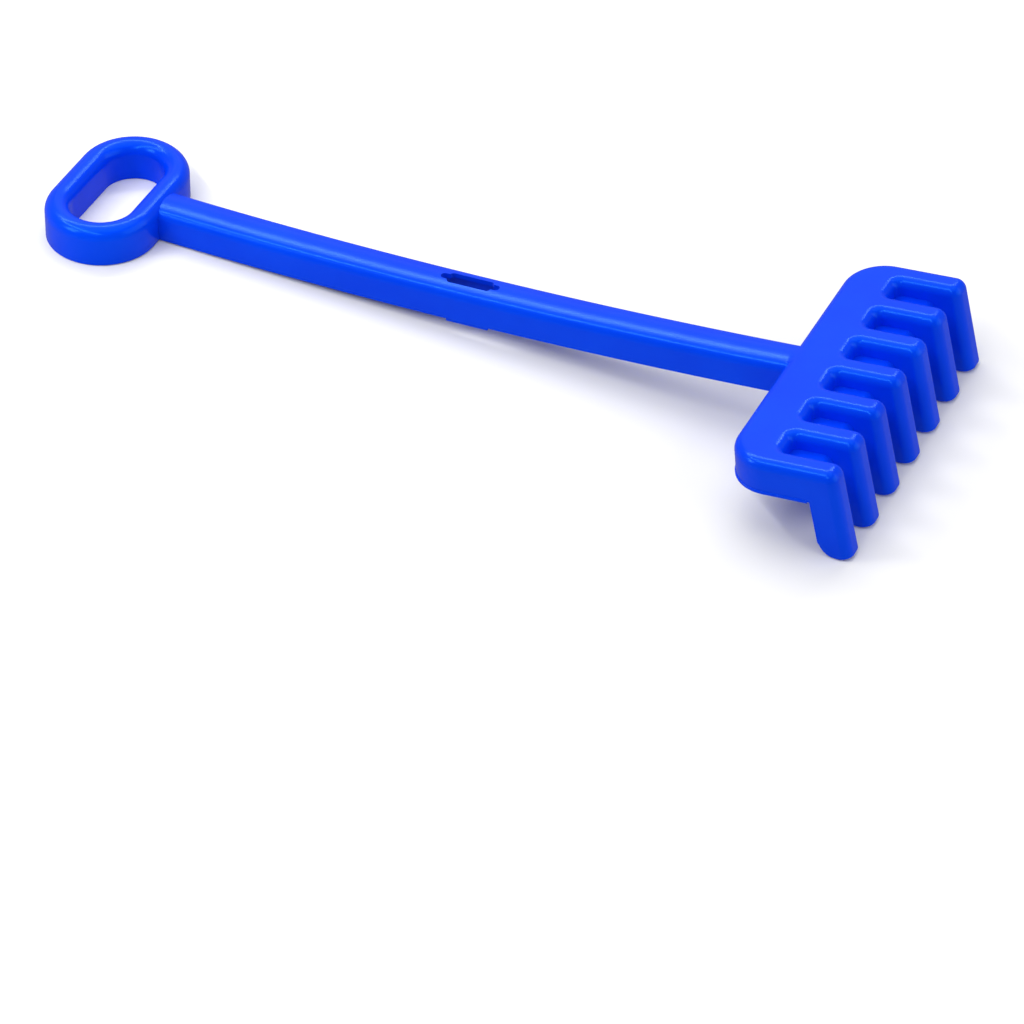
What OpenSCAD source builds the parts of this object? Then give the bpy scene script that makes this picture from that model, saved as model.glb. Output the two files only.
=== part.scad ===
// Toy sand rake, an open backed plastic moulding with a loop grip, a bowed channel shaft
// and a head whose tines fall from its front edge.
// Everything is drawn with the head's top face at z = 0 and its rear edge at x = 0,
// and is then tipped so that the tine tips and the back of the loop stand on the floor.

/* [Moulding] */
// Wall thickness all over
wall = 2.2; // [1.6:0.1:2.8]
// Height of the shell from its top down to its lower rim
rim_depth = 19; // [17:0.5:23]
// Rounding of the head's top edges and of the tines' ridges
edge_radius = 5.5; // [4:0.1:6.4]

/* [Head] */
// Distance from the middle of one tine to the next
tine_pitch = 28; // [26:0.5:32]
// Width of a tine across its side walls
tine_width = 14.8; // [13.6:0.2:17]
// Length of the head's top, from its rear edge to the front of the tines
head_length = 60.7; // [56:0.1:68]
// Radius of the head's rear corners seen from above
rear_corner = 22; // [14:0.5:26]
// Distance from the rear edge to the closed end of the gaps
gap_start = 27; // [25:0.2:30]
// Corner radius at the closed end of a gap
gap_corner = 3; // [1.5:0.5:4.5]
// Depth of the sheet that closes a gap below the head's top
web_drop = 9.6; // [8:0.2:12]
// Radius of that sheet where it rolls down at the back of the tines
web_roll = 5.2; // [4.4:0.2:7]
// How far the lip along the head's lower rim stands out
lip_out = 0.5; // [0.2:0.1:1]
// Height of that lip
lip_height = 1.4; // [0.8:0.1:2.4]

/* [Tines] */
// Depth of a falling tine from its front to its open back
tine_depth = 16.3; // [15:0.1:19]
// Forward lean of the falling tines, in degrees
tine_lean = 7.2; // [2:0.2:12]
// Length of a falling tine along its front, from the bend to the tip
tine_fall = 45.7; // [36:0.1:58]
// Rounding of the tip at the back of a tine
tip_radius = 10; // [7:0.5:12]
// How much a falling tine draws in below its bend, on each side
fall_draft = 0.1; // [0.1:0.05:0.4]

/* [Shaft] */
// Length of the shaft between the head and the loop
shaft_length = 358; // [300:1:420]
// Angle that the shaft bends through along its length, in degrees
shaft_bow = 6.4; // [2:0.2:9]
// Width of the shaft across its side walls
shaft_width = 22; // [19:0.5:26]
// Rounding of the shaft's two top shoulders
shoulder_radius = 5.6; // [4.4:0.1:7]
// How far the crown lies below the head's top
crown_drop = 0.4; // [0.3:0.1:1.4]

/* [Hanging slot] */
// Distance from the head's rear edge to the middle of the slot
slot_place = 180; // [120:1:250]
// Length of the wide middle of the slot
slot_length = 25; // [18:0.5:28]
// Width of the middle of the slot
slot_width = 8.2; // [6.6:0.1:9.4]
// Length over the two narrow ends of the slot
slot_reach = 33.6; // [32:0.2:44]
// Width of the narrow ends
slot_notch = 4.4; // [3.4:0.1:5.4]
// Distance from the head's rear edge to the middle of the rim tabs
tab_place = 178; // [120:1:250]
// Length of a rim tab
tab_length = 24; // [14:0.5:34]
// Distance that the rim tabs hang below the rim
tab_drop = 1.2; // [0.6:0.1:2]

/* [Loop] */
// Width of the loop across the shaft
loop_across = 95.5; // [86:0.5:110]
// Length of the loop along the shaft
loop_along = 61; // [54:0.5:70]
// Width of the loop's bar
loop_bar = 13.6; // [11.6:0.2:15]
// Height of the loop's top above the shaft's crown line
loop_rise = 2.6; // [1.6:0.1:4]

/* [Hidden] */
$fn = 96;
eps = 0.01;
// Keeps a derived size to a thousandth of a millimetre
function thousandth(v) = round(v * 1000) / 1000;
// Straight lengths of shaft that belong to the head and to the loop
neck = 10;
stub = 8;
// Head
gap = tine_pitch - tine_width;
half_width = 3 * tine_pitch + tine_width / 2;
split_x = gap_start + gap_corner + 1;
web_bottom = web_drop + wall;
// Falling tines: centre of the bend, point on the front, front corner and round of the tip
fall_edge = edge_radius - fall_draft;
bend_x = thousandth(head_length - fall_edge * cos(tine_lean)
    + (edge_radius - fall_edge * sin(tine_lean)) * tan(tine_lean));
front_x = bend_x + fall_edge * cos(tine_lean);
front_z = fall_edge * sin(tine_lean) - edge_radius;
corner_x = front_x + tine_fall * sin(tine_lean);
corner_z = front_z - tine_fall * cos(tine_lean);
tip_in = tine_depth - tip_radius;
tip_x = corner_x - tip_radius * sin(tine_lean) - tip_in * cos(tine_lean);
tip_z = corner_z + tip_radius * cos(tine_lean) - tip_in * sin(tine_lean);
// Back line of the tines, as an x at the height of the head's top
back_x = front_x + front_z * tan(tine_lean) - tine_depth / cos(tine_lean);
// Bow of the shaft
bow_length = shaft_length - neck - stub;
bow_radius = round(bow_length * 180 / (PI * shaft_bow));
// Back of the loop's rim, seen in the head's frame
loop_back = 0 - stub - loop_along;
rim_back_x = loop_back * cos(shaft_bow) - (rim_depth + bow_radius) * sin(shaft_bow) - neck;
rim_back_z = bow_radius - loop_back * sin(shaft_bow) - (rim_depth + bow_radius) * cos(shaft_bow);
bar_back_x = (loop_back + loop_bar / 2) * cos(shaft_bow)
    + (loop_rise - loop_bar / 2 - bow_radius) * sin(shaft_bow) - neck;
bar_back_z = bow_radius - (loop_back + loop_bar / 2) * sin(shaft_bow)
    + (loop_rise - loop_bar / 2 - bow_radius) * cos(shaft_bow);
// Tilt that sets the tips and the back of the loop on the floor
span_x = rim_back_x - tip_x;
span_z = rim_back_z - tip_z;
tilt = atan2(span_x, span_z) + acos(0 - tip_radius / sqrt(span_x * span_x + span_z * span_z));
floor_z = tip_x * sin(tilt) + tip_z * cos(tilt) - tip_radius;
most_front = corner_x * cos(tilt) - corner_z * sin(tilt);
most_back = min(rim_back_x * cos(tilt) - rim_back_z * sin(tilt),
    bar_back_x * cos(tilt) - bar_back_z * sin(tilt) - loop_bar / 2);

// Tips the tool onto the floor, centred over the origin
module at_rest() {
    translate([0 - (most_front + most_back) / 2, 0, 0 - floor_z])
        rotate([0, 0 - tilt, 0])
            children();
}

// Moves to the end of the bowed shaft, where the loop begins
module at_bow(angle) {
    translate([0 - neck, 0, bow_radius])
        rotate([0, angle, 0])
            translate([0, 0, 0 - bow_radius])
                children();
}

// Ridge with two rounded edges, drawn as depth against width
module ridge_section(width, radius, depth) {
    translate([radius, 0 - width / 2])
        square([depth - radius, width]);
    translate([0, radius - width / 2])
        square([depth, width - 2 * radius]);
    for (side = [-1, 1])
        translate([radius, side * (width / 2 - radius)])
            circle(r = radius);
}

// Edge of a slab with a rounded top, drawn as reach against height
module edge_section(reach, radius, top, bottom) {
    translate([0, bottom])
        square([reach, top - radius - bottom]);
    translate([0, bottom])
        square([reach - radius, top - bottom]);
    translate([reach - radius, top - radius])
        circle(r = radius);
}

// Half of a gap with a flared mouth, drawn as reach against height
module mouth_section(reach, radius, top, bottom) {
    difference() {
        translate([0, bottom])
            square([reach + radius, top - bottom]);
        translate([reach + radius, top - radius])
            circle(r = radius);
        translate([reach, bottom - 1])
            square([radius + 1, top - radius - bottom + 1]);
    }
}

// Channel of the shaft, drawn as depth against width
module shaft_section(inset, depth) {
    translate([crown_drop + inset, 0])
        ridge_section(shaft_width - 2 * inset, shoulder_radius - inset, depth - crown_drop - inset);
}

// Wall of the shaft's channel
module shaft_wall_section() {
    difference() {
        shaft_section(0, rim_depth);
        shaft_section(wall, rim_depth + 5);
    }
}

// Bar of the loop, drawn as distance from its middle line against height
module bar_section(inset, bottom) {
    translate([inset - loop_bar / 2, bottom])
        square([loop_bar - 2 * inset, loop_rise - loop_bar / 2 - bottom]);
    translate([0, loop_rise - loop_bar / 2])
        circle(r = loop_bar / 2 - inset);
}

// Stadium shaped sweep of the loop's bar, its front face at x = 0
module loop_sweep(inset, bottom) {
    turn = loop_along / 2 - loop_bar / 2;
    straight = loop_across - loop_along;
    translate([0 - loop_along / 2, 0, 0]) {
        for (side = [-1, 1])
            translate([0, side * straight / 2, 0])
                rotate([0, 0, side < 0 ? 180 : 0])
                    rotate_extrude(angle = 180)
                        translate([turn, 0])
                            bar_section(inset, bottom);
        for (side = [-1, 1])
            translate([side * turn, straight / 2, 0])
                rotate([90, 0, 0])
                    linear_extrude(height = straight)
                        bar_section(inset, bottom);
    }
}

// Straight length of shaft, either solid or hollow
module straight_shaft(from, to, inset, depth) {
    translate([from, 0, 0])
        rotate([0, 90, 0])
            linear_extrude(height = to - from)
                shaft_section(inset, depth);
}

// Slab of the head up to the split, with round rear corners and round top edges
module head_slab(inset, bottom) {
    corner = rear_corner - inset;
    edge = edge_radius - inset;
    width = 2 * half_width - 2 * inset;
    translate([rear_corner, 0, 0 - inset])
        rotate([0, 90, 0])
            linear_extrude(height = split_x - rear_corner)
                ridge_section(width, edge, bottom - inset);
    translate([rear_corner, half_width - rear_corner, 0])
        rotate([90, 0, 0])
            linear_extrude(height = 2 * half_width - 2 * rear_corner)
                mirror([1, 0])
                    edge_section(corner, edge, 0 - inset, 0 - bottom);
    for (side = [-1, 1])
        translate([rear_corner, side * (half_width - rear_corner), 0])
            rotate([0, 0, side > 0 ? 90 : 180])
                rotate_extrude(angle = 90)
                    edge_section(corner, edge, 0 - inset, 0 - bottom);
}

// One gap between two tines, grown by a wall when it is used as a plug
module gap_cut(grow) {
    edge = edge_radius - grow;
    corner = gap_corner + grow;
    top = 0 - grow;
    bottom = 0 - web_bottom;
    reach = gap / 2 + grow;
    side_y = gap / 2 - gap_corner;
    start = gap_start + gap_corner;
    for (side = [0, 1])
        mirror([0, side, 0])
            translate([split_x + eps, 0, 0])
                rotate([90, 0, -90])
                    linear_extrude(height = split_x - start + eps)
                        mirror([1, 0])
                            mouth_section(reach, edge, top, bottom);
    translate([start, side_y, 0])
        rotate([90, 0, 0])
            linear_extrude(height = 2 * side_y)
                mirror([1, 0])
                    mouth_section(corner, edge, top, bottom);
    for (side = [-1, 1])
        translate([start, side * side_y, 0])
            rotate([0, 0, side > 0 ? 90 : 180])
                rotate_extrude(angle = 90)
                    mouth_section(corner, edge, top, bottom);
}

// Repeats its child at the middle of each gap
module each_gap() {
    for (step = [-2.5:1:2.5])
        translate([0, step * tine_pitch, 0])
            children();
}

// Knuckle at the bend of a tine, lying across it
module bend_knuckle(radius) {
    flat = tine_width / 2 - edge_radius;
    translate([bend_x, 0, 0 - edge_radius])
        rotate([90, 0, 0])
            rotate_extrude()
                intersection() {
                    union() {
                        translate([0, 0 - flat])
                            square([radius, 2 * flat]);
                        for (side = [-1, 1])
                            translate([0, side * flat])
                                circle(r = radius);
                    }
                    translate([0, 0 - tine_width])
                        square([tine_width, 2 * tine_width]);
                }
}

// Outline of a falling tine from the side, drawn as depth from its front against length
module fall_outline() {
    translate([-1, 0])
        square([tine_depth + 1, tine_fall - tip_radius]);
    translate([-1, 0])
        square([tip_in + 1, tine_fall]);
    translate([tip_in, tine_fall - tip_radius])
        circle(r = tip_radius);
}

// Space inside a falling tine from the side, open behind the flat of the tip
module fall_space() {
    translate([0, -1])
        square([tine_depth + 6, tine_fall - wall + 1]);
    translate([tip_in, 0])
        square([tine_depth, tine_fall + 2]);
}

// Turns a drawing of depth against width so that it runs down a tine
module down_tine() {
    translate([bend_x, 0, 0 - edge_radius])
        rotate([0, 180 - tine_lean, 0])
            translate([0 - fall_edge, 0, 0])
                children();
}

// Solid shape of a tine
module tine_body() {
    translate([split_x, 0, 0])
        rotate([0, 90, 0])
            linear_extrude(height = bend_x - split_x)
                ridge_section(tine_width, edge_radius, web_bottom);
    bend_knuckle(edge_radius);
    down_tine()
        intersection() {
            linear_extrude(height = tine_fall + 1)
                ridge_section(tine_width - 2 * fall_draft, fall_edge, tine_depth);
            translate([0, tine_width, 0])
                rotate([90, 0, 0])
                    linear_extrude(height = 2 * tine_width)
                        fall_outline();
        }
}

// Space inside a tine, open below and behind
module tine_space() {
    inner = tine_width - 2 * wall;
    translate([split_x - 1, 0, 0 - wall])
        rotate([0, 90, 0])
            linear_extrude(height = bend_x - split_x + 1)
                ridge_section(inner, edge_radius - wall, web_bottom);
    bend_knuckle(edge_radius - wall);
    down_tine()
        intersection() {
            translate([wall, 0, 0])
                linear_extrude(height = tine_fall + 3)
                    ridge_section(inner - 2 * fall_draft, fall_edge - wall, tine_depth + 4);
            translate([0, tine_width, 0])
                rotate([90, 0, 0])
                    linear_extrude(height = 2 * tine_width)
                        fall_space();
        }
}

// Tine in the middle of the row
module plain_tine() {
    difference() {
        tine_body();
        tine_space();
    }
}

// Lower side wall of the head that an outer tine carries, with its lip
module side_wall() {
    low_x = back_x + rim_depth * tan(tine_lean);
    high_x = back_x + web_bottom * tan(tine_lean);
    lip_x = back_x + (rim_depth - lip_height) * tan(tine_lean);
    translate([0, 0 - tine_width / 2 + wall, 0])
        rotate([90, 0, 0])
            linear_extrude(height = wall)
                polygon([[split_x, wall / 2 - web_bottom], [split_x, 0 - rim_depth],
                    [low_x + 1, 0 - rim_depth], [high_x + 1, wall / 2 - web_bottom]]);
    translate([0, 0 - tine_width / 2 + wall / 2, 0])
        rotate([90, 0, 0])
            linear_extrude(height = wall / 2 + lip_out)
                polygon([[split_x, lip_height - rim_depth], [split_x, 0 - rim_depth],
                    [low_x, 0 - rim_depth], [lip_x, lip_height - rim_depth]]);
}

// Tine at the near side of the row
module outer_tine() {
    plain_tine();
    side_wall();
}

module tine_at(place) {
    color([0.05, 0.28, 0.95])
        at_rest()
            translate([0, place * tine_pitch, 0])
                if (place == -3) {
                    outer_tine();
                } else if (place == 3) {
                    mirror([0, 1, 0])
                        outer_tine();
                } else {
                    plain_tine();
                }
}

// Side of the sheet that closes a gap, rolling down at the back of the tines
module web_profile() {
    inner = web_roll - wall;
    drop = web_bottom + inner;
    roll_x = back_x + drop * tan(tine_lean) - inner / cos(tine_lean);
    inner_x = back_x + rim_depth * tan(tine_lean);
    outer_x = inner_x + wall / cos(tine_lean);
    turn = 90 - tine_lean;
    steps = 16;
    function roll(radius, k) =
        [roll_x + radius * sin(turn * k / steps), radius * cos(turn * k / steps) - drop];
    polygon(concat(
        [[gap_start - 1, 0 - web_bottom], [gap_start - 1, 0 - web_drop]],
        [for (k = [0:steps]) roll(web_roll, k)],
        [[outer_x, 0 - rim_depth], [inner_x, 0 - rim_depth]],
        [for (k = [steps:-1:0]) roll(inner, k)]));
}

// Sheet between two tines, its closed end rounded like the gap
module web_at(place) {
    start = gap_start + gap_corner;
    color([0.05, 0.28, 0.95])
        at_rest()
            translate([0, place * tine_pitch, 0])
                intersection() {
                    translate([0, gap / 2 + 1, 0])
                        rotate([90, 0, 0])
                            linear_extrude(height = gap + 2)
                                web_profile();
                    translate([0, 0, 0 - rim_depth - 1])
                        linear_extrude(height = rim_depth + 1) {
                            translate([start, 0 - gap / 2])
                                square([head_length, gap]);
                            translate([gap_start, gap_corner - gap / 2])
                                square([gap_corner + 1, gap - 2 * gap_corner]);
                            for (side = [-1, 1])
                                translate([start, side * (gap / 2 - gap_corner)])
                                    circle(r = gap_corner);
                        }
                }
}

module handle_loop() {
    color([0.05, 0.28, 0.95])
        at_rest()
            at_bow(shaft_bow)
                difference() {
                    union() {
                        translate([0 - stub, 0, 0])
                            loop_sweep(0, 0 - rim_depth);
                        straight_shaft(1 - stub - loop_bar / 2, 0, 0, rim_depth);
                    }
                    translate([0 - stub, 0, 0])
                        loop_sweep(wall, 0 - rim_depth - 5);
                    straight_shaft(1 - stub - loop_bar / 2, 1, wall, rim_depth + 5);
                }
}

module shaft() {
    slot_angle = (slot_place - neck) * 180 / (PI * bow_radius);
    tab_angle = tab_length * 180 / (PI * bow_radius);
    tab_middle = (tab_place - neck) * 180 / (PI * bow_radius);
    color([0.05, 0.28, 0.95])
        at_rest()
            difference() {
                translate([0 - neck, 0, bow_radius])
                    rotate([-90, 90, 0]) {
                        rotate_extrude(angle = shaft_bow, $fn = 1800)
                            translate([bow_radius, 0])
                                shaft_wall_section();
                        rotate([0, 0, tab_middle - tab_angle / 2])
                            rotate_extrude(angle = tab_angle, $fn = 1800)
                                for (side = [0, 1])
                                    mirror([0, side])
                                        translate([bow_radius + rim_depth - 1, shaft_width / 2 - wall])
                                            square([tab_drop + 1, wall]);
                    }
                at_bow(slot_angle)
                    translate([0, 0, 0 - shoulder_radius])
                        linear_extrude(height = shoulder_radius + 3) {
                            translate([0 - slot_length / 2 + slot_width / 4, 0 - slot_width / 2])
                                square([slot_length - slot_width / 2, slot_width]);
                            for (end = [-1, 1], side = [-1, 1])
                                translate([end * (slot_length / 2 - slot_width / 4), side * slot_width / 4])
                                    circle(r = slot_width / 4);
                            translate([0 - slot_reach / 2 + slot_notch / 2, 0 - slot_notch / 2])
                                square([slot_reach - slot_notch, slot_notch]);
                            for (end = [-1, 1])
                                translate([end * (slot_reach / 2 - slot_notch / 2), 0])
                                    circle(r = slot_notch / 2);
                        }
            }
}

module head_shell() {
    color([0.05, 0.28, 0.95])
        at_rest()
            difference() {
                union() {
                    head_slab(0, rim_depth);
                    straight_shaft(0 - neck, edge_radius + 2, 0, rim_depth);
                    translate([0, 0, 0 - rim_depth])
                        linear_extrude(height = lip_height) {
                            translate([rear_corner, 0 - half_width - lip_out])
                                square([split_x - rear_corner, 2 * half_width + 2 * lip_out]);
                            translate([0 - lip_out, rear_corner - half_width])
                                square([rear_corner + lip_out, 2 * half_width - 2 * rear_corner]);
                            for (side = [-1, 1])
                                translate([rear_corner, side * (half_width - rear_corner)])
                                    intersection() {
                                        circle(r = rear_corner + lip_out);
                                        translate([0 - rear_corner - 2, 0 - rear_corner - 2])
                                            square([rear_corner + 2, 2 * rear_corner + 4]);
                                    }
                        }
                }
                difference() {
                    head_slab_space();
                    each_gap()
                        gap_cut(wall);
                }
                straight_shaft(0 - neck - 1, edge_radius + 4, wall, rim_depth + 5);
                each_gap()
                    gap_cut(0);
            }
}

// Space under the head's top, running out through the split
module head_slab_space() {
    head_slab(wall, rim_depth + 5);
}

module tine_1() {
    tine_at(3);
}

module tine_2() {
    tine_at(2);
}

module tine_3() {
    tine_at(1);
}

module tine_4() {
    tine_at(0);
}

module tine_5() {
    tine_at(-1);
}

module tine_6() {
    tine_at(-2);
}

module tine_7() {
    tine_at(-3);
}

module web_1() {
    web_at(2.5);
}

module web_2() {
    web_at(1.5);
}

module web_3() {
    web_at(0.5);
}

module web_4() {
    web_at(-0.5);
}

module web_5() {
    web_at(-1.5);
}

module web_6() {
    web_at(-2.5);
}

handle_loop();
shaft();
head_shell();
tine_1();
tine_2();
tine_3();
tine_4();
tine_5();
tine_6();
tine_7();
web_1();
web_2();
web_3();
web_4();
web_5();
web_6();
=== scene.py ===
# %% [markdown]
# # A moulded sand rake
#
# This lesson dresses the CAD frame of a child's sand rake. The real rake is one piece of plastic:
# a thin skin, open underneath, with a loop to hold, a bowed shaft and a head with seven tines.
# So it is modelled as a moulder thinks of it. First come three solid forms that give the outside,
# then three smaller forms, the core of the mould, that hollow it out from below.

import math

import bpy
from mathutils import Matrix, Vector


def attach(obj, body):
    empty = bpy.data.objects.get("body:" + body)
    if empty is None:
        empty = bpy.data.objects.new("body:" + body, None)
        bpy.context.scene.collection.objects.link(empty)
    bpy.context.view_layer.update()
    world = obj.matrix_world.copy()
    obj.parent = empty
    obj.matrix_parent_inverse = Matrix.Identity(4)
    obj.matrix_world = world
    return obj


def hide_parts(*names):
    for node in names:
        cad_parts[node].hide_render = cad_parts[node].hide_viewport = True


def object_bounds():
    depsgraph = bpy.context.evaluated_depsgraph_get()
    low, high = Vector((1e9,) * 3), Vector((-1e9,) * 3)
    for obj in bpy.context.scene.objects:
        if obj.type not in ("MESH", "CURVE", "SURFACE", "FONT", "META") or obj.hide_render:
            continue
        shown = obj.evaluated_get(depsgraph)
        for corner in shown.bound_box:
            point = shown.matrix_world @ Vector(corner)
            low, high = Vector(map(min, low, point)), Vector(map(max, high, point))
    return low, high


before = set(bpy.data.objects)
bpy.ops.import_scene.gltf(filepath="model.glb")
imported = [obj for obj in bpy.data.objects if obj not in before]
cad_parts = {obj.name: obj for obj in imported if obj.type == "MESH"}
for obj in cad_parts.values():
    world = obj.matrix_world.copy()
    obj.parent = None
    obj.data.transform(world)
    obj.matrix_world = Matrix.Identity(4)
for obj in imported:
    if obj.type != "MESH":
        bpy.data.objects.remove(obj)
cad_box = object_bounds()
print("CAD nodes:", len(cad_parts))

# %% [markdown]
# ## The maker's drawing
#
# The rake is easiest to draw lying level: the head's top at height 0 and its rear edge at x = 0,
# in millimetres. The wall has one thickness all over, and nearly all edges have one rounding.

# %% Sizes of the moulding
WALL = 2.2
RIM = 19.0
EDGE = 5.5
PITCH = 28.0
TINES = 7
TINE_WIDTH = 14.8
HALF_WIDTH = (TINES - 1) / 2 * PITCH + TINE_WIDTH / 2
FRONT = 60.7
TINE_DEPTH = 16.3
TINE_FALL = 45.7
TIP = 10.0
LEAN = math.radians(7.2)
DRAFT = 0.1
FALL_TOP = (EDGE - DRAFT) * math.sin(LEAN) - EDGE


def front_at(height, depth):
    """Where a line at a depth behind the tines' front is at a height."""
    return FRONT - height * math.tan(LEAN) - depth / math.cos(LEAN)


def tine_point(depth, length):
    """A point on a tine's side, by its depth behind the front and its length below the bend."""
    x = front_at(FALL_TOP, 0) + length * math.sin(LEAN) - depth * math.cos(LEAN)
    return (x, FALL_TOP - length * math.cos(LEAN) - depth * math.sin(LEAN))


print("front corner of a tine's tip:", [round(c, 2) for c in tine_point(0, TINE_FALL)])

# %% [markdown]
# Behind the head the shaft is straight for a neck, then follows a wide arc, and ends in a short
# straight stub in front of the loop. `along_bow` gives the place and turn at any distance on it.

# %% Bow of the shaft
NECK = 10.0
STUB = 8.0
BOW = math.radians(6.4)
BOW_RADIUS = 3044.0
LOOP_ALONG = 61.0


def along_bow(distance):
    """Place on the bowed shaft, a distance behind the end of the neck."""
    turn = Matrix.Rotation(distance / BOW_RADIUS, 4, "Y")
    lift = Matrix.Translation((0, 0, BOW_RADIUS))
    return Matrix.Translation((-NECK, 0, 0)) @ lift @ turn @ lift.inverted()


AT_LOOP = along_bow(BOW * BOW_RADIUS)
print("end of the bow:", [round(c, 1) for c in AT_LOOP.to_translation()])

# %% [markdown]
# At rest the rake stands on its tine tips and on the back of its loop. The tilt follows from
# those two: the round of the tips and the loop's rear rim both touch the floor. The frame's own
# box says where the foremost point lies. The finished pieces are all moved by this one matrix.

# %% Resting place
tip = Vector(tine_point(TINE_DEPTH - TIP, TINE_FALL - TIP))
heel = AT_LOOP @ Vector((-STUB - LOOP_ALONG, 0, -RIM))
span = Vector((heel.x, heel.z)) - tip
TILT = math.atan2(span.x, span.y) + math.acos(-TIP / span.length)
tipped = Matrix.Rotation(-TILT, 4, "Y")
corner = tine_point(0, TINE_FALL)
foremost = (tipped @ Vector((corner[0], 0, corner[1]))).x
lowest = (tipped @ Vector((tip.x, 0, tip.y))).z - TIP
to_floor = Matrix.Translation((1000 * cad_box[1][0] - foremost, 0, -lowest))
AT_REST = Matrix.Scale(0.001, 4) @ to_floor @ tipped
print("tilt in degrees:", round(math.degrees(TILT), 3))

# %% [markdown]
# ## Small tools for modelling
#
# Operators act on whatever is selected, so each helper first makes one object the only
# selected one. Faces and edges are then picked in code, by where they lie or where they face:
# NEAR is a tolerance in millimetres, FLAT and FACING are shares of a face's normal.

# %% Helpers for selecting
NEAR = 0.01
UPRIGHT = 1.0
FLAT = 0.99
FACING = 0.9


def only(piece):
    """Makes a piece the one active and selected object."""
    if bpy.context.object and bpy.context.object.mode != "OBJECT":
        bpy.ops.object.mode_set(mode="OBJECT")
    bpy.ops.object.select_all(action="DESELECT")
    piece.select_set(True)
    bpy.context.view_layer.objects.active = piece


def pick(piece, kind, wanted):
    """Goes to edit mode with just the wanted edges or faces selected."""
    only(piece)
    bpy.ops.object.mode_set(mode="EDIT")
    bpy.ops.mesh.select_mode(type=kind)
    bpy.ops.mesh.select_all(action="DESELECT")
    bpy.ops.object.mode_set(mode="OBJECT")
    items = piece.data.polygons if kind == "FACE" else piece.data.edges
    found = [item for item in items if wanted(item)]
    for item in found:
        item.select = True
    bpy.ops.object.mode_set(mode="EDIT")
    return len(found)


def upright_at(piece, x):
    """A test for the edges that stand upright at a distance x."""
    def test(edge):
        low, high = (piece.data.vertices[v].co for v in edge.vertices)
        return max(abs(low.x - x), abs(high.x - x)) < NEAR and abs(low.z - high.z) > UPRIGHT
    return test


def faces_beside(piece):
    """For each edge, copies of the normal and the middle of the faces on its two sides."""
    beside = {edge.key: [] for edge in piece.data.edges}
    for face in piece.data.polygons:
        for key in face.edge_keys:
            beside[key].append((face.normal.copy(), face.center.copy()))
    return beside


# %% [markdown]
# Each shaping helper wraps one modelling step: draw an outline, draw it out, round its edges, join
# or cut two forms. `check_sound` stops the script when a cut has gone wrong, because a mesh that
# has lost faces can still look whole from one side.

# %% Helpers for shaping
LEAST_FACES = 10000
MERGE = 0.0005


def outline(name, corners):
    """Adds a flat face with the given corners."""
    bpy.ops.object.select_all(action="DESELECT")
    bpy.ops.mesh.primitive_circle_add(vertices=len(corners), fill_type="NGON")
    piece = bpy.context.object
    piece.name = name
    for vertex, place_of in zip(piece.data.vertices, corners):
        vertex.co = place_of
    pick(piece, "FACE", lambda face: True)
    return piece


def draw_out(reach):
    """Extrudes what is selected along a vector."""
    bpy.ops.mesh.extrude_region_move(TRANSFORM_OT_translate={"value": reach})


def bevel(radius, segments):
    """Rounds the selected edges and leaves edit mode."""
    bpy.ops.mesh.bevel(offset=radius, segments=segments, affect="EDGES", clamp_overlap=False)
    bpy.ops.object.mode_set(mode="OBJECT")


def face_out(piece):
    """Merges doubles and turns all faces outwards."""
    only(piece)
    bpy.ops.object.mode_set(mode="EDIT")
    bpy.ops.mesh.select_all(action="SELECT")
    bpy.ops.mesh.remove_doubles(threshold=MERGE)
    bpy.ops.mesh.normals_make_consistent(inside=False)
    bpy.ops.object.mode_set(mode="OBJECT")


def apply_modifier(piece, kind, **settings):
    """Adds a modifier, sets it up and applies it."""
    only(piece)
    modifier = piece.modifiers.new(kind.title(), kind)
    for key, value in settings.items():
        setattr(modifier, key, value)
    bpy.ops.object.modifier_apply(modifier=modifier.name)


def combine(piece, other, operation):
    """Joins a form to a piece, or cuts it out, and removes the form."""
    apply_modifier(piece, "BOOLEAN", object=other, operation=operation, solver="EXACT")
    bpy.data.objects.remove(other)


def place(piece, matrix):
    """Moves a piece and writes its place into its mesh."""
    only(piece)
    piece.matrix_world = matrix
    bpy.ops.object.transform_apply(location=True, rotation=True, scale=True)


def arc(middle, radius, start, end, steps):
    """Points on an arc in a plane, with angles in degrees."""
    points = []
    for step in range(steps + 1):
        angle = math.radians(start + (end - start) * step / steps)
        points.append((middle[0] + radius * math.cos(angle), middle[1] + radius * math.sin(angle)))
    return points


def open_edges(piece):
    """How many edges don't have a face on both sides."""
    return sum(len(faces) != 2 for faces in faces_beside(piece).values())


def check_sound(piece):
    """Stops if a piece has open edges or has lost faces in a cut, and prints its count."""
    faces = len(piece.data.polygons)
    gaps = open_edges(piece)
    print(piece.name, "faces:", faces, "open edges:", gaps)
    if gaps or faces < LEAST_FACES:
        raise RuntimeError(f"{piece.name} came out of a cut broken")


# %% [markdown]
# ## The gaps between the tines
#
# Between two tines the real moulding has a pocket: a thin sheet closes it from below and rolls
# down where the tines begin. The cutter of a gap has that stepped side, and its closed end has
# round corners. The core of the mould needs the same gap, grown by the wall on every side.
# HIGH, AHEAD and BELOW only take the cutter clear of the head.

# %% Gap cutter
GAP = PITCH - TINE_WIDTH
GAP_START = 27.0
GAP_CORNER = 3.0
GAP_STEPS = 10
SHEET = -9.6
HIGH = 5.0
AHEAD = 95.0
BELOW = -80.0
UNDER_HOOD = 32.0


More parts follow.
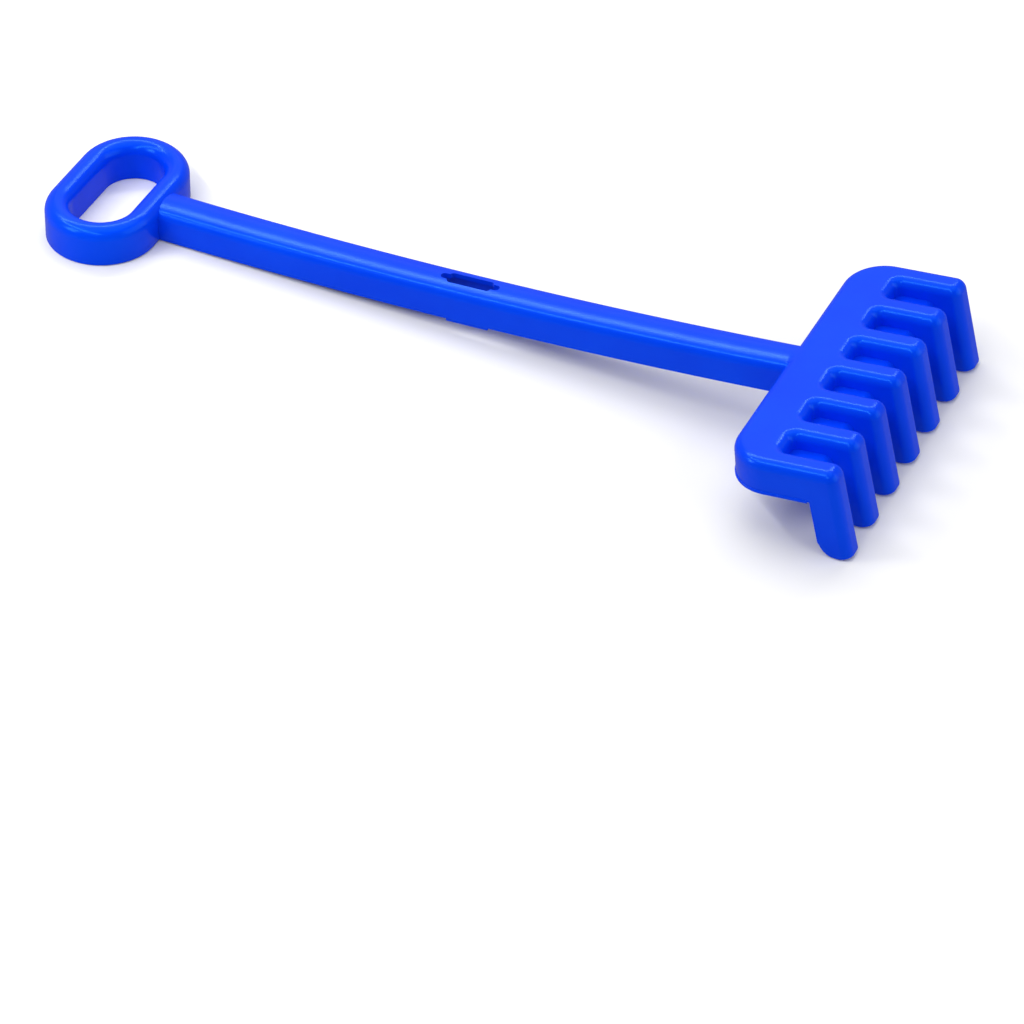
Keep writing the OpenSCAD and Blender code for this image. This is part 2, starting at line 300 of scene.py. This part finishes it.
def gap_form(middle, inset, rim):
    """One gap; rim is the height at which the rolled sheet ends."""
    start = GAP_START - inset
    half = GAP / 2 + inset
    sheet = SHEET - inset
    depth = TINE_DEPTH - WALL + inset
    side = [
        (start, HIGH), (AHEAD, HIGH), (AHEAD, BELOW), (UNDER_HOOD, BELOW), (UNDER_HOOD, rim),
        (front_at(rim, depth), rim), (front_at(sheet, depth), sheet), (start, sheet),
    ]
    gap = outline("gap_form", [(x, middle - half, z) for x, z in side])
    draw_out((0, 2 * half, 0))
    face_out(gap)
    pick(gap, "EDGE", upright_at(gap, start))
    bevel(GAP_CORNER + inset, GAP_STEPS)
    return gap


# %% [markdown]
# ## The head
#
# From the side the head is an L: a low hood with a leg that falls at its front. Drawing that
# side once and extruding it over the full width gives all seven tines the same bend and tip.
# The alternative, a box for each tine, would need a join at every tine.
# All edges that a child could touch are then rounded in one bevel, which also makes the round
# corners where three ridges meet. The sheets' rolls get their own radius first.

# %% Head form
REAR_CORNER = 22.0
CORNER_STEPS = 30
ROLL = 5.2
ROLL_STEPS = 10
EDGE_STEPS = 12


def is_roll(piece, sheet):
    """A test for the front edges of the sheets that close the gaps."""
    spots = [vertex.co.copy() for vertex in piece.data.vertices]

    def test(edge):
        ends = [spots[v] for v in edge.vertices]
        level = all(abs(end.z - sheet) < NEAR and end.x > UNDER_HOOD for end in ends)
        return level and abs(ends[0].x - ends[1].x) < NEAR
    return test


def is_ridge(piece, top):
    """A test for the edges around the top and down the two sides of each tine's front."""
    beside = faces_beside(piece)
    heights = [vertex.co.z for vertex in piece.data.vertices]

    def test(edge):
        faces = beside[edge.key]
        tops = [normal.z > FLAT and abs(middle.z - top) < NEAR for normal, middle in faces]
        if sum(tops) == 1 and all(abs(heights[v] - top) < NEAR for v in edge.vertices):
            return True
        for front, side in (faces, faces[::-1]):
            ahead = front[0].x > FACING and front[1].x > FRONT - EDGE and front[1].z > -TINE_FALL
            if ahead and abs(side[0].y) > FLAT:
                return True
        return False
    return test


def head_form(name, side, inset, rim):
    """The head as a solid with its gaps and rounded edges, drawn in by a distance."""
    half = HALF_WIDTH - inset
    head = outline(name, [(x, -half, z) for x, z in side])
    draw_out((0, 2 * half, 0))
    face_out(head)
    pick(head, "EDGE", upright_at(head, inset))
    bevel(REAR_CORNER - inset, CORNER_STEPS)
    for step in range(TINES - 1):
        combine(head, gap_form((step - TINES / 2 + 1) * PITCH, inset, rim), "DIFFERENCE")
    face_out(head)
    rolls = pick(head, "EDGE", is_roll(head, SHEET - inset))
    bevel((ROLL - inset) * math.tan((math.pi / 2 - LEAN) / 2), ROLL_STEPS)
    ridges = pick(head, "EDGE", is_ridge(head, -inset))
    bevel(EDGE - inset, EDGE_STEPS)
    face_out(head)
    print(name, "rolls:", rolls, "ridges:", ridges, "open edges:", open_edges(head))
    return head


# %% [markdown]
# The outside of a tine ends in a flat tip with a large round at its back. The core of the mould
# stops one wall above that flat, runs out behind the tine and below the hood, and so leaves
# both open. PAST is how far it runs out. The hood and the webs end at heights of their own. These
# steps are wider than two of the small bevels that break the rims at the end, so the bevels don't
# run into each other.

# %% Outside and core of the head
PAST = 6.0
HOOD_RIM = -RIM + 0.5
WEB_RIM = -RIM + 1.0
TIP_STEPS = 14
head_side = [(0, 0), (FRONT, 0), tine_point(0, TINE_FALL)]
for step in range(TIP_STEPS + 1):
    turn = math.pi / 2 * step / TIP_STEPS
    head_side.append(
        tine_point(TINE_DEPTH - TIP + TIP * math.sin(turn), TINE_FALL - TIP + TIP * math.cos(turn))
    )
head_side += [(front_at(HOOD_RIM, TINE_DEPTH), HOOD_RIM), (0, HOOD_RIM)]
moulding = head_form("rake_head", head_side, 0, WEB_RIM)

core_side = [
    (WALL, -WALL), (front_at(-WALL, WALL), -WALL),
    tine_point(WALL, TINE_FALL - WALL), tine_point(TINE_DEPTH - TIP, TINE_FALL - WALL),
    tine_point(TINE_DEPTH - TIP, TINE_FALL + PAST), tine_point(TINE_DEPTH + PAST, TINE_FALL + PAST),
    (front_at(-RIM - PAST, TINE_DEPTH + PAST), -RIM - PAST), (WALL, -RIM - PAST),
]
head_core = head_form("head_core", core_side, WALL, -RIM - PAST / 2)

# %% [markdown]
# ## The lip along the head's rim
#
# A narrow bead runs around the lower rim of the hood and stops just behind the outer tines.
# It is a low slab of the hood's outline, a little wider, that is joined on before hollowing.

# %% Lip
LIP_OUT = 0.5
LIP_HEIGHT = 1.4
LIP_SHORT = 1.2
lip_end = front_at(-RIM, TINE_DEPTH) - LIP_SHORT
lip_half = HALF_WIDTH + LIP_OUT
lip_plan = [(lip_end, -lip_half), (-LIP_OUT, -lip_half), (-LIP_OUT, lip_half), (lip_end, lip_half)]
lip = outline("head_lip", [(x, y, -RIM) for x, y in lip_plan])
draw_out((0, 0, LIP_HEIGHT))
face_out(lip)
pick(lip, "EDGE", upright_at(lip, -LIP_OUT))
bevel(REAR_CORNER + LIP_OUT, CORNER_STEPS)
combine(moulding, lip, "UNION")
print("head with lip, open edges:", open_edges(moulding))

# %% [markdown]
# ## The shaft
#
# The shaft is a channel with rounded shoulders and a slightly domed crown. Its section is drawn
# once inside the head, drawn straight through the neck, spun through the bow around a far axis,
# and drawn straight again, to just before the middle of the loop's bar. Spin keeps the section
# square to the bow. The dome and the shoulders share a tangent where they meet, so no line shows
# there. Inside the head the dome is laid flat, and the crown runs out into the head's top.

# %% Shaft form
SHAFT_HALF = 11.0
SHOULDER = 5.6
CROWN = -0.4
DOME = 0.8
CROWN_TUCK = -0.17
BAR = 6.8
SHAFT_RIM = -RIM + 0.4
HEAD_REACH = EDGE + 2.0
CORE_REACH = EDGE + 4.0
BEFORE_MIDDLE = 1.0
SHOULDER_STEPS = 10
CROWN_STEPS = 12
BOW_STEPS = 64


def shaft_form(name, inset, dome, rim, into_head):
    """The shaft as a solid, drawn in by a distance."""
    half = SHAFT_HALF - inset
    round_off = SHOULDER - inset
    flat = half - round_off
    crown = CROWN - inset
    lean = 2 * math.atan(dome / flat)
    meet = 90 - math.degrees(lean)
    side = [(half, rim)] + arc((flat, crown - round_off), round_off, 0, meet, SHOULDER_STEPS)
    if dome:
        wide = flat / math.sin(lean) + round_off
        side += arc((0, crown + dome - wide), wide, meet, 180 - meet, CROWN_STEPS)[1:-1]
    side += arc((-flat, crown - round_off), round_off, 180 - meet, 180, SHOULDER_STEPS)
    side.append((-half, rim))
    shaft = outline(name, [(into_head, y, z) for y, z in side])
    draw_out((-into_head, 0, 0))
    draw_out((-NECK, 0, 0))
    bpy.ops.object.mode_set(mode="OBJECT")
    for vertex in shaft.data.vertices:
        if vertex.co.x > NEAR:
            vertex.co.z = min(vertex.co.z, CROWN_TUCK)
    bpy.ops.object.mode_set(mode="EDIT")
    bpy.ops.mesh.spin(steps=BOW_STEPS, angle=-BOW, center=(-NECK, 0, BOW_RADIUS), axis=(0, 1, 0))
    into_loop = AT_LOOP.to_3x3() @ Vector((BEFORE_MIDDLE - STUB - BAR, 0, 0))
    draw_out(tuple(into_loop))
    face_out(shaft)
    print(name, "reaches back to", round(min(v.co.x for v in shaft.data.vertices), 1))
    return shaft


shaft_out = shaft_form("rake_shaft", 0, DOME, SHAFT_RIM, HEAD_REACH)
shaft_core = shaft_form("shaft_core", WALL, 0, -RIM - PAST, CORE_REACH)

# %% [markdown]
# ## The loop
#
# The grip is a bar with a round top, led around a stadium. Its section is drawn along one
# straight side, spun half a turn, drawn back and spun again. The two ends then meet, so their
# faces are deleted and the seam is merged.

# %% Loop form
LOOP_ACROSS = 95.5
LOOP_TOP = 2.6
BAR_STEPS = 24
TURN_STEPS = 44


def loop_form(name, inset, rim):
    """The loop as a solid ring, its bar drawn in by a distance."""
    bar = BAR - inset
    turn = LOOP_ALONG / 2 - BAR
    straight = LOOP_ACROSS - LOOP_ALONG
    side = [(bar, rim)] + arc((0, LOOP_TOP - BAR), bar, 0, 180, BAR_STEPS) + [(-bar, rim)]
    loop = outline(name, [(turn + across, -straight / 2, height) for across, height in side])
    for way in (1, -1):
        draw_out((0, way * straight, 0))
        middle = (0, way * straight / 2, 0)
        bpy.ops.mesh.spin(steps=TURN_STEPS, angle=-math.pi, center=middle, axis=(0, 0, 1))
    pick(loop, "FACE", lambda face: len(face.vertices) > 4)
    bpy.ops.mesh.delete(type="FACE")
    face_out(loop)
    place(loop, AT_LOOP @ Matrix.Translation((-STUB - LOOP_ALONG / 2, 0, 0)))
    print(name, "faces:", len(loop.data.polygons), "open edges:", open_edges(loop))
    return loop


loop_out = loop_form("rake_loop", 0, -RIM)
loop_core = loop_form("loop_core", WALL, -RIM - PAST)

# %% [markdown]
# ## One moulding
#
# The three outer forms become one solid, and the three cores are cut out of it from below.
# Joining first and hollowing afterwards leaves the passages from the loop through the shaft
# into the head open, as they are on the real rake.

# %% Join and hollow
for form in (shaft_out, loop_out):
    combine(moulding, form, "UNION")
for form in (head_core, shaft_core, loop_core):
    combine(moulding, form, "DIFFERENCE")
face_out(moulding)
check_sound(moulding)

# %% [markdown]
# ## The hanging slot
#
# Half way along the shaft a slot with two narrow ends goes through the crown. It is a plan
# outline, drawn up through the crown and placed on the bow.

# %% Slot
SLOT_PLACE = 180.0
SLOT_HALF = 12.5
SLOT_WIDE = 4.1
SLOT_END = 16.8
NOTCH = 2.2
NOTCH_STEPS = 6
SLOT_LOW = -8.0
SLOT_HEIGHT = 14.0
quarter = arc((SLOT_END - NOTCH, 0), NOTCH, 0, 90, NOTCH_STEPS)
slot_round = SLOT_WIDE / 2
corner_start = math.degrees(math.asin(2 * NOTCH / SLOT_WIDE - 1))
quarter += arc((SLOT_HALF - slot_round, slot_round), slot_round, corner_start, 90, NOTCH_STEPS)
half_plan = quarter + [(-x, y) for x, y in reversed(quarter)]
slot_plan = half_plan + [(x, -y) for x, y in reversed(half_plan[1:-1])]
slot = outline("slot_cutter", [(x, y, SLOT_LOW) for x, y in slot_plan])
draw_out((0, 0, SLOT_HEIGHT))
face_out(slot)
place(slot, along_bow(SLOT_PLACE - NECK))
combine(moulding, slot, "DIFFERENCE")
print("with slot, open edges:", open_edges(moulding))

# %% [markdown]
# Below the slot both rims of the shaft hang a little lower for a short length. Two low blocks
# that are a little thinner than the wall are joined on.

# %% Rim tabs
TAB_PLACE = 178.0
TAB_LENGTH = 24.0
TAB_DROP = 1.2
TAB_INSET = 0.8
for side in (-1, 1):
    bpy.ops.object.select_all(action="DESELECT")
    bpy.ops.mesh.primitive_cube_add(size=1)
    tab = bpy.context.object
    tab.dimensions = (TAB_LENGTH, WALL - TAB_INSET, 2 * TAB_DROP)
    bpy.ops.object.transform_apply(location=False, rotation=False, scale=True)
    seat = Matrix.Translation((0, side * (SHAFT_HALF - WALL / 2), -RIM))
    place(tab, along_bow(TAB_PLACE - NECK) @ seat)
    combine(moulding, tab, "UNION")
face_out(moulding)
check_sound(moulding)

# %% [markdown]
# ## Round tips
#
# The tips are the part that meets the sand and a child's feet, so their lower outline is rounder
# than the rims. This bevel comes after all the cuts: a cut through its many small faces is
# not reliable. Only the outer edges are taken, because the rims are just one wall wide.

# %% Tip edges
TIP_EDGE = 1.2
TIP_EDGE_STEPS = 4
DOWNWARD = -0.2


def is_tip(piece):
    """A test for the outer edges of each tine's flat tip and of the round behind it."""
    beside = faces_beside(piece)

    def outer(normal, middle):
        tine = PITCH * round(middle.y / PITCH)
        return normal.x > FACING or (middle.y - tine) * normal.y > NEAR

    def test(edge):
        for lower, other in (beside[edge.key], beside[edge.key][::-1]):
            normal, middle = lower
            under = abs(normal.y) < NEAR and normal.z < DOWNWARD and middle.z < -RIM - TIP
            if under and outer(*other):
                return True
        return False
    return test


tips = pick(moulding, "EDGE", is_tip(moulding))
bevel(TIP_EDGE, TIP_EDGE_STEPS)
print("tip edges:", tips)
check_sound(moulding)

# %% [markdown]
# ## Soft edges and three pieces
#
# Rims on a moulding are never knife sharp, so a small bevel breaks the edges that stand out.
# Corners that go in are left as the mould makes them, and so are the slot's rim and the tines'
# back edges, where the faces are too small for the bevel.

# %% Break the edges
RIM_BREAK = 0.18
RIM_BREAK_STEPS = 2
HARD = math.radians(50)
TIP_ZONE = -RIM - 3.0
SLOT_MARGIN = 1.0


def is_sharp(piece):
    """A test for the hard edges that stand out, away from the tips and the slot."""
    beside = faces_beside(piece)
    spots = [vertex.co.copy() for vertex in piece.data.vertices]

    def left_out(spot):
        beside_slot = abs(spot.y) < SLOT_WIDE + SLOT_MARGIN
        in_slot = abs(spot.x + SLOT_PLACE) < SLOT_END + SLOT_MARGIN and beside_slot
        return in_slot or spot.z < TIP_ZONE

    def test(edge):
        if any(left_out(spots[v]) for v in edge.vertices):
            return False
        (normal, middle), (next_normal, next_middle) = beside[edge.key]
        hard = normal.angle(next_normal, 0) > HARD
        return hard and (next_middle - middle).dot(normal) < 0
    return test


print("sharp edges:", pick(moulding, "EDGE", is_sharp(moulding)))
bevel(RIM_BREAK, RIM_BREAK_STEPS)
check_sound(moulding)

# %% [markdown]
# The finished skin is parted at the neck and at the stub, where the CAD nodes meet, by bisecting
# three copies of it. Weighted normals keep flat faces flat to the eye.

# %% Part the moulding
SMOOTH = math.radians(40)


def part(cuts):
    """A copy of the moulding, kept in front of each cut's plane."""
    piece = moulding.copy()
    piece.data = moulding.data.copy()
    bpy.context.collection.objects.link(piece)
    for spot, way in cuts:
        pick(piece, "FACE", lambda face: True)
        bpy.ops.mesh.bisect(plane_co=spot, plane_no=way, use_fill=True, clear_inner=True)
        bpy.ops.object.mode_set(mode="OBJECT")
    return piece


neck_spot = Vector((-NECK, 0, 0))
neck_way = Vector((1, 0, 0))
loop_spot = AT_LOOP.to_translation()
loop_way = AT_LOOP.to_3x3() @ neck_way
head = part([(neck_spot, neck_way)])
shaft = part([(neck_spot, -neck_way), (loop_spot, loop_way)])
loop = part([(loop_spot, -loop_way)])
bpy.data.objects.remove(moulding)
for piece, name in ((head, "rake_head"), (shaft, "rake_shaft"), (loop, "rake_loop")):
    piece.name = name
    place(piece, AT_REST)
    only(piece)
    bpy.ops.object.shade_smooth_by_angle(angle=SMOOTH)
    apply_modifier(piece, "WEIGHTED_NORMAL", mode="FACE_AREA", weight=100, keep_sharp=True)
    triangles = sum(len(face.vertices) - 2 for face in piece.data.polygons)
    print(piece.name, "triangles:", triangles, "open edges:", open_edges(piece))

# %% [markdown]
# ## The plastic
#
# Sand toys are moulded in polypropylene coloured through with a strong pigment. It gives
# the eye a clean saturated blue, a soft waxy gloss and, close up, a faint unevenness from the
# flow of the melt and fine scuffs from sand. Two small helpers come first: one turns a colour code
# into the shader's own values, the other adds a node with its links.


# %% Helpers for materials
def linear(hex_code):
    """sRGB hex to the linear values that the shader works with."""
    channels = [int(hex_code[k:k + 2], 16) / 255 for k in (0, 2, 4)]
    return [c / 12.92 if c <= 0.04045 else ((c + 0.055) / 1.055) ** 2.4 for c in channels] + [1.0]


def add_node(tree, kind, links=None, values=None):
    """Adds a node with its socket values and the links into it."""
    node = tree.nodes.new(kind)
    for key, value in (values or {}).items():
        node.inputs[key].default_value = value
    for key, source in (links or {}).items():
        tree.links.new(source, node.inputs[key])
    return node


# %% [markdown]
# Two noises make the plastic, each sized in millimetres: a wide one for the flow of the melt, which
# shifts the blue a little and sinks the surface, and a fine one for the scuffs, which changes the
# gloss. The highlights on the real rake are blue, so the shader's reflections are tinted as well.

# %% Plastic
FLOW_MM = 45.0
SCUFF_MM = 1.6
plastic = bpy.data.materials.new("moulded_polypropylene_blue")
plastic.use_nodes = True
tree = plastic.node_tree
shader = tree.nodes["Principled BSDF"]
spot = add_node(tree, "ShaderNodeTexCoord")
flow = add_node(
    tree, "ShaderNodeTexNoise", links={"Vector": spot.outputs["Object"]},
    values={"Scale": 1000 / FLOW_MM, "Detail": 3.0, "Roughness": 0.5},
)
scuff = add_node(
    tree, "ShaderNodeTexNoise", links={"Vector": spot.outputs["Object"]},
    values={"Scale": 1000 / SCUFF_MM, "Detail": 4.0, "Roughness": 0.6},
)
tint = add_node(tree, "ShaderNodeValToRGB", links={"Fac": flow.outputs["Fac"]})
tint.color_ramp.elements[0].position = 0.3
tint.color_ramp.elements[0].color = linear("0038e2")
tint.color_ramp.elements[1].position = 0.7
tint.color_ramp.elements[1].color = linear("0040ea")
gloss = add_node(
    tree, "ShaderNodeMapRange", links={"Value": scuff.outputs["Fac"]},
    values={"From Min": 0.3, "From Max": 0.7, "To Min": 0.19, "To Max": 0.26},
)
sink = add_node(
    tree, "ShaderNodeBump", links={"Height": flow.outputs["Fac"]},
    values={"Strength": 0.4, "Distance": 0.001},
)
dent = add_node(
    tree, "ShaderNodeBump", links={"Height": scuff.outputs["Fac"], "Normal": sink.outputs["Normal"]},
    values={"Strength": 0.006, "Distance": 0.0002},
)
tree.links.new(tint.outputs["Color"], shader.inputs["Base Color"])
tree.links.new(gloss.outputs["Result"], shader.inputs["Roughness"])
tree.links.new(dent.outputs["Normal"], shader.inputs["Normal"])
shader.inputs["IOR"].default_value = 1.49
shader.inputs["Specular Tint"].default_value = linear("48bcff")
print("material:", plastic.name)

# %% [markdown]
# Each piece gets the plastic and is hung on the empty of the body it rides on. The CAD nodes
# that it stands for are hidden.

# %% Dress the pieces
tines = [f"tine_{k}" for k in range(1, TINES + 1)]
webs = [f"web_{k}" for k in range(1, TINES)]
stands_for = {head: ["head_shell"] + tines + webs, shaft: ["shaft"], loop: ["handle_loop"]}
for piece, nodes in stands_for.items():
    piece.data.materials.clear()
    piece.data.materials.append(plastic)
    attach(piece, "root")
    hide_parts(*nodes)
    print(piece.name, "stands for", len(nodes), "nodes")

# %% [markdown]
# ## Floor, light and camera
#
# The rake stands on a plain pale floor. The floor is kept out of the reflections, so the upright
# walls of the plastic stay deep.

# %% Floor
FLOOR_SIZE = 12
bpy.ops.object.select_all(action="DESELECT")
bpy.ops.mesh.primitive_plane_add(size=FLOOR_SIZE)
floor = bpy.context.object
floor.name = "floor"
paper = bpy.data.materials.new("matt_white_paper")
paper.use_nodes = True
paper_shader = paper.node_tree.nodes["Principled BSDF"]
paper_shader.inputs["Base Color"].default_value = linear("eaeaea")
paper_shader.inputs["Roughness"].default_value = 0.9
floor.data.materials.append(paper)
floor.visible_glossy = False
print("floor:", paper.name)

# %% [markdown]
# The light is a wide panel overhead in a dim white room. Two long strips draw two thin lines along
# every ridge, a panel at the back gives the tops their sheen, and weak lamps lift the tines'
# fronts and the wall of the grip. Each lamp has a place, a point that it faces, a size and a power.

# %% Light
ROOM_LIGHT = 0.26
LAMPS = (
    ("top_panel", (0, 0.2, 2.4), (0, 0, 0), (2.6, 2.2), 21),
    ("rear_panel", (-1.0, 2.3, 1.75), (0, 0, 0), (2.4, 1.6), 4),
    ("rear_strip", (-0.73, 1.05, 1.78), (0, 0, 0), (3.0, 0.25), 24),
    ("near_strip", (-0.73, -0.95, 1.8), (0, 0, 0), (3.0, 0.12), 24),
    ("front_panel", (1.9, 0.3, 0.9), (0.1, 0, 0.02), (2.2, 1.6), 15),
    ("grip_lamp", (-0.6, -0.5, 0.45), (-0.15, 0, 0.02), (0.25, 0.25), 1.6),
)
scene = bpy.context.scene
world = bpy.data.worlds.new("studio")
world.use_nodes = True
room = world.node_tree.nodes["Background"]
room.inputs["Color"].default_value = (1, 1, 1, 1)
room.inputs["Strength"].default_value = ROOM_LIGHT
scene.world = world


def soft_light(name, spot, aim, size, power):
    """A rectangular lamp at a spot, turned to a point."""
    bpy.ops.object.light_add(type="AREA", location=spot)
    lamp = bpy.context.object
    lamp.name = name
    lamp.data.shape = "RECTANGLE"
    lamp.data.size, lamp.data.size_y = size
    lamp.data.energy = power
    lamp.rotation_euler = (Vector(aim) - lamp.location).to_track_quat("-Z", "Y").to_euler()


for settings in LAMPS:
    soft_light(*settings)
print("lamps:", len(LAMPS))

# %% [markdown]
# The camera stands where the photograph was taken from, far away with a long lens. Its place and
# turn were found in the maker's drawing, so both are tipped with the rake.

# %% Camera
CAMERA_SPOT = Vector((849.531, -1851.377, 1441.762))
CAMERA_TURN = [math.radians(angle) for angle in (52.97986, 4.92421, 25.13638)]
SENSOR = 36
LENS = 173.0962
FAR = 50
bpy.ops.object.camera_add(location=AT_REST @ CAMERA_SPOT, rotation=CAMERA_TURN)
camera = bpy.context.object
camera.rotation_euler.rotate(tipped.to_euler())
camera.data.sensor_width = SENSOR
camera.data.lens = LENS
camera.data.clip_end = FAR
scene.camera = camera
scene.view_settings.view_transform = "Standard"
print("camera at", [round(c, 4) for c in camera.location])
